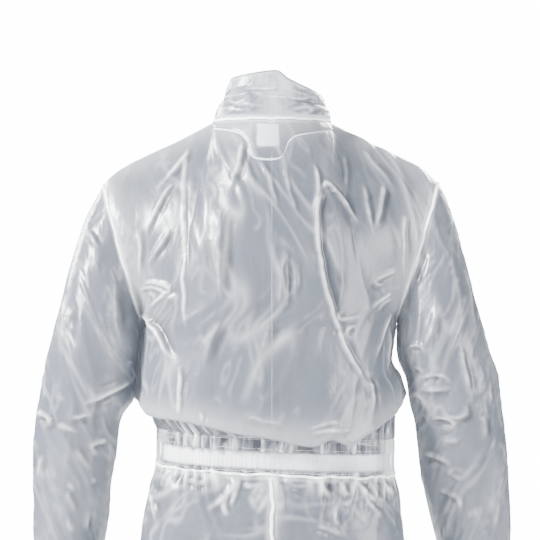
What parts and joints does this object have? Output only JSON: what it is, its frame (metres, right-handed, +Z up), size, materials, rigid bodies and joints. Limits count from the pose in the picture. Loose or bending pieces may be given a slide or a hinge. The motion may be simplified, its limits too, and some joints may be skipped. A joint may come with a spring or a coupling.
{
  "type": "rain coverall",
  "caption": "One-piece rain coverall of frosted clear film with white taped seams, a standing collar, an elastic waist and a front zip, hollow in its worn pose.",
  "frame": {"origin": "middle of the neck opening, level with the collar seam at the nape, where the wearer's shoulders hold it", "axes": "+Z up, -Y the front with the zip, +X the left sleeve"},
  "size_m": [0.721, 0.2681, 1.5088],
  "materials": {
    "back_film": "frosted clear film",
    "front_left_film": "frosted clear film",
    "front_right_film": "frosted clear film",
    "collar_film": "frosted clear film, doubled",
    "facing_film": "frosted clear film",
    "casing_film": "frosted clear film, gathered",
    "sleeve_left_film": "frosted clear film",
    "sleeve_right_film": "frosted clear film",
    "cuff_left_film": "frosted clear film over elastic",
    "cuff_right_film": "frosted clear film over elastic",
    "leg_left_film": "frosted clear film",
    "leg_right_film": "frosted clear film",
    "ankle_left_film": "frosted clear film over elastic",
    "ankle_right_film": "frosted clear film over elastic",
    "elastic_white": "woven elastic",
    "waist_binding_white": "white seam tape",
    "armhole_left_white": "white seam tape",
    "armhole_right_white": "white seam tape",
    "seat_binding_white": "white seam tape",
    "neck_binding_white": "white seam tape",
    "facing_binding_white": "white seam tape",
    "label_white": "bare woven label",
    "zip_tape_left_white": "woven zip tape",
    "zip_tape_right_white": "woven zip tape",
    "zip_chain_white": "moulded zip coil",
    "slider_metal": "cast zip slider",
    "pull_metal": "cast pull tab"
  },
  "bodies": {
    "garment": {"bodice_back": "back_film", "bodice_front_left": "front_left_film", "bodice_front_right": "front_right_film", "collar": "collar_film", "collar_seam_binding": "neck_binding_white", "neck_facing": "facing_film", "neck_facing_binding": "facing_binding_white", "size_label": "label_white", "sleeve_left": "sleeve_left_film", "sleeve_right": "sleeve_right_film", "armhole_binding_left": "armhole_left_white", "armhole_binding_right": "armhole_right_white", "cuff_left": "cuff_left_film", "cuff_right": "cuff_right_film", "waist_casing": "casing_film", "waist_elastic": "elastic_white", "waist_seam_binding": "waist_binding_white", "leg_left": "leg_left_film", "leg_right": "leg_right_film", "seat_seam_binding": "seat_binding_white", "ankle_left": "ankle_left_film", "ankle_right": "ankle_right_film", "zip_tape_left": "zip_tape_left_white", "zip_tape_right": "zip_tape_right_white", "zip_chain": "zip_chain_white", "zip_slider": "slider_metal"},
    "zip_pull": {"zip_pull": "pull_metal"}
  },
  "joints": [
    {"name": "zip_pull_hinge", "type": "hinge", "parent": "garment", "child": "zip_pull", "pos_m": [0, -0.07749, -0.00987], "axis": [-1, 0, 0], "range_deg": [0, 170]}
  ]
}
